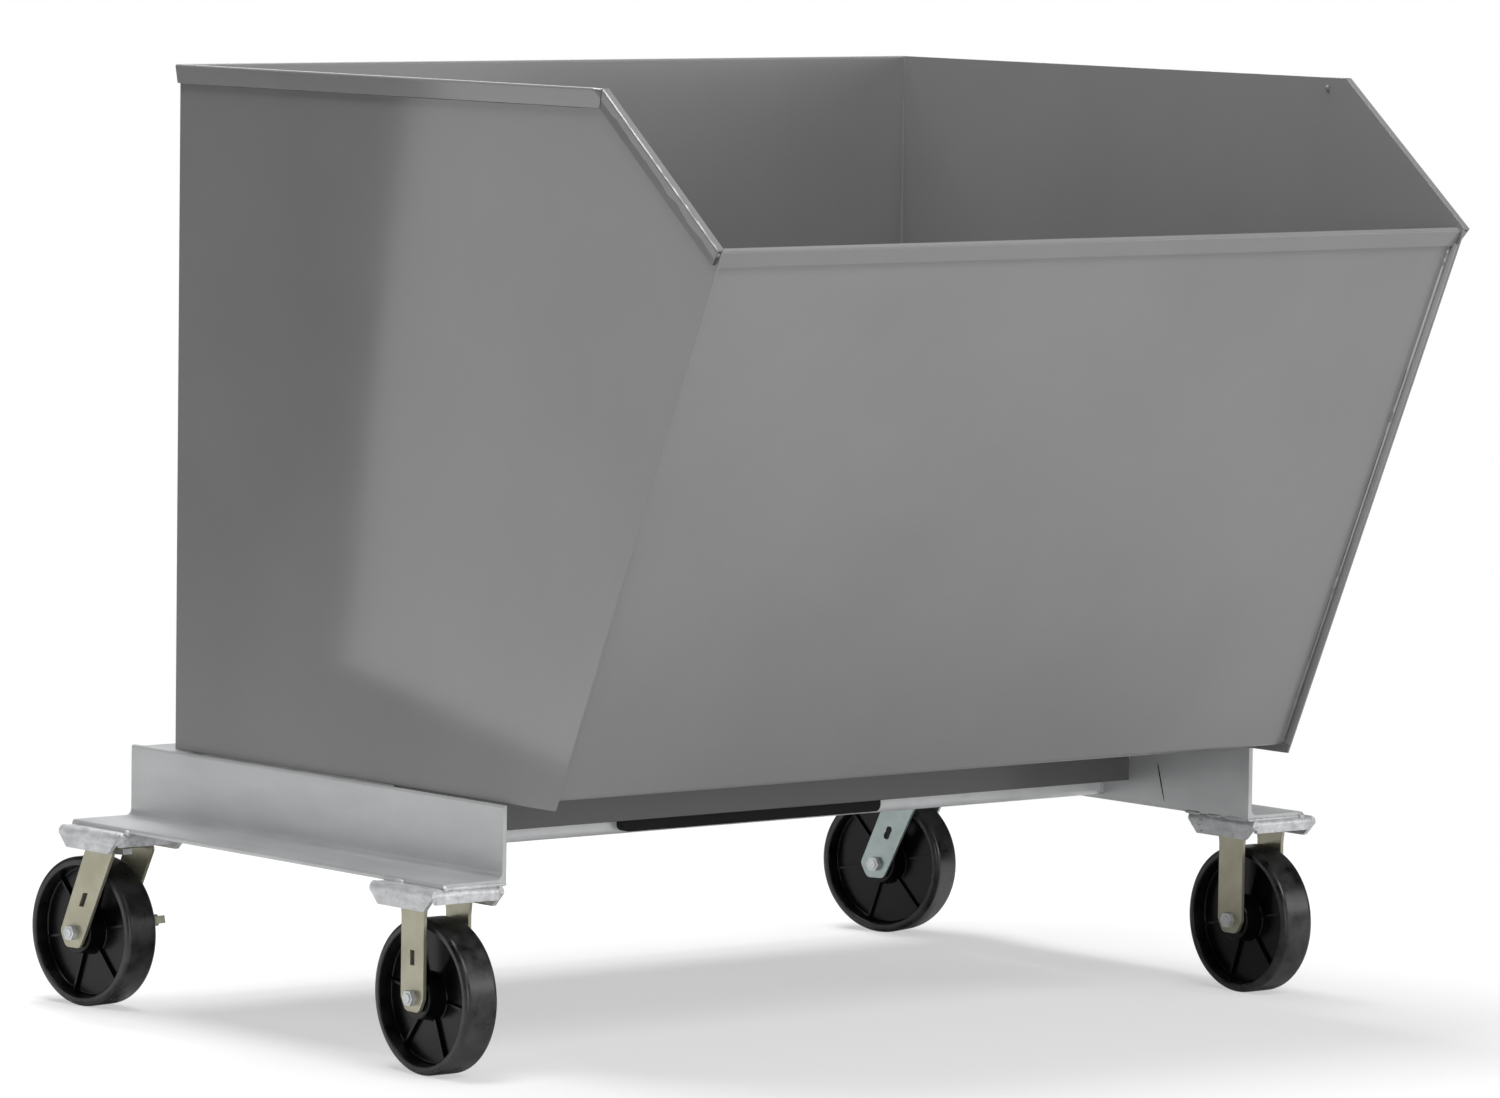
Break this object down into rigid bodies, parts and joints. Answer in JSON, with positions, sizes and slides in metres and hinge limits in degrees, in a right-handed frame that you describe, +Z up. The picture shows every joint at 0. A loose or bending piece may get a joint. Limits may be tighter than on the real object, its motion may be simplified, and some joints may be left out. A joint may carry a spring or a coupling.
{
  "type": "tipping skip trolley",
  "caption": "Steel skip with sloped front and low pouring lip that tips forward between the rails of a galvanised base on rigid and swivel casters.",
  "frame": {"origin": "on the floor under the centre of the object's box", "axes": "+Z up, -Y towards the pouring lip, +X across, along the tipping shaft"},
  "size_m": [1.52, 1.3476, 1.2723],
  "materials": {
    "painted_hopper": "grey semi-gloss enamel",
    "galvanised": "hot-dip zinc, mottled satin",
    "rubber": "matte black",
    "wheel_plastic": "moulded black, low sheen",
    "zinc_yellow": "warm chromated zinc plate",
    "zinc_clear": "clear zinc plate",
    "bright_steel": "turned bright",
    "bronze": "sintered",
    "bearing_plastic": "moulded"
  },
  "bodies": {
    "base": {"rail_left": "galvanised", "rail_right": "galvanised", "rear_cross_angle": "galvanised", "cross_beam": "galvanised", "tip_buffer": "rubber", "floor_rests": "rubber", "pivot_boss_left": "galvanised", "pivot_boss_right": "galvanised", "pivot_bush_left": "bronze", "pivot_bush_right": "bronze", "latch_bracket": "galvanised", "latch_pin": "zinc_clear", "caster_pad_front_left": "galvanised", "caster_pad_front_right": "galvanised", "caster_pad_rear_left": "galvanised", "caster_pad_rear_right": "galvanised", "rigid_fork_left": "zinc_yellow", "rigid_fork_right": "zinc_yellow", "front_axle_tubes": "bright_steel", "front_axle_bolts": "zinc_clear", "front_axle_nuts": "zinc_clear", "swivel_plate_left": "zinc_yellow", "swivel_plate_right": "zinc_clear", "swivel_balls_left": "bright_steel", "swivel_balls_right": "bright_steel", "kingpins": "zinc_clear", "kingpin_nuts": "zinc_clear"},
    "hopper": {"hopper_side_left": "painted_hopper", "hopper_side_right": "painted_hopper", "hopper_front": "painted_hopper", "hopper_floor": "painted_hopper", "hopper_back": "painted_hopper", "pivot_channel": "painted_hopper", "pivot_lugs": "painted_hopper", "pivot_shaft": "bright_steel", "latch_keeper": "painted_hopper"},
    "latch": {"latch_lever": "galvanised", "latch_grip": "rubber"},
    "brake": {"brake_lever": "zinc_yellow"},
    "wheel_front_left": {"front_wheel_left": "wheel_plastic", "front_bearing_left": "bearing_plastic"},
    "swivel_left": {"swivel_fork_left": "zinc_yellow", "rear_axle_tube_left": "bright_steel", "rear_axle_bolt_left": "zinc_clear", "rear_axle_nut_left": "zinc_clear", "brake_cam": "zinc_yellow"},
    "wheel_rear_left": {"rear_wheel_left": "wheel_plastic", "rear_bearing_left": "bearing_plastic"},
    "wheel_front_right": {"front_wheel_right": "wheel_plastic", "front_bearing_right": "bearing_plastic"},
    "swivel_right": {"swivel_fork_right": "zinc_clear", "rear_axle_tube_right": "bright_steel", "rear_axle_bolt_right": "zinc_clear", "rear_axle_nut_right": "zinc_clear"},
    "wheel_rear_right": {"rear_wheel_right": "wheel_plastic", "rear_bearing_right": "bearing_plastic"}
  },
  "joints": [
    {"name": "hopper_tip", "type": "hinge", "parent": "base", "child": "hopper", "pos_m": [0, 0.0107, 0.315], "axis": [1, 0, 0], "range_deg": [0, 60]},
    {"name": "latch_swing", "type": "hinge", "parent": "base", "child": "latch", "pos_m": [0, 0.5347, 0.38525], "axis": [1, 0, 0], "range_deg": [0, 28]},
    {"name": "front_spin_left", "type": "hinge", "parent": "base", "child": "wheel_front_left", "pos_m": [-0.702, -0.1939, 0.1016], "axis": [1, 0, 0], "continuous": true},
    {"name": "swivel_turn_left", "type": "hinge", "parent": "base", "child": "swivel_left", "pos_m": [-0.702, 0.5141, 0.23065], "axis": [0, 0, 1], "continuous": true},
    {"name": "rear_spin_left", "type": "hinge", "parent": "swivel_left", "child": "wheel_rear_left", "pos_m": [-0.70895, 0.57068, 0.1016], "axis": [0.9925, 0.1219, 0], "continuous": true},
    {"name": "brake_press", "type": "hinge", "parent": "swivel_left", "child": "brake", "pos_m": [-0.70895, 0.57068, 0.1016], "axis": [0.9925, 0.1219, 0], "range_deg": [0, 30]},
    {"name": "front_spin_right", "type": "hinge", "parent": "base", "child": "wheel_front_right", "pos_m": [0.702, -0.1939, 0.1016], "axis": [1, 0, 0], "continuous": true},
    {"name": "swivel_turn_right", "type": "hinge", "parent": "base", "child": "swivel_right", "pos_m": [0.702, 0.5141, 0.23065], "axis": [0, 0, 1], "continuous": true},
    {"name": "rear_spin_right", "type": "hinge", "parent": "swivel_right", "child": "wheel_rear_right", "pos_m": [0.68534, 0.56861, 0.1016], "axis": [0.9563, 0.2924, 0], "continuous": true}
  ]
}
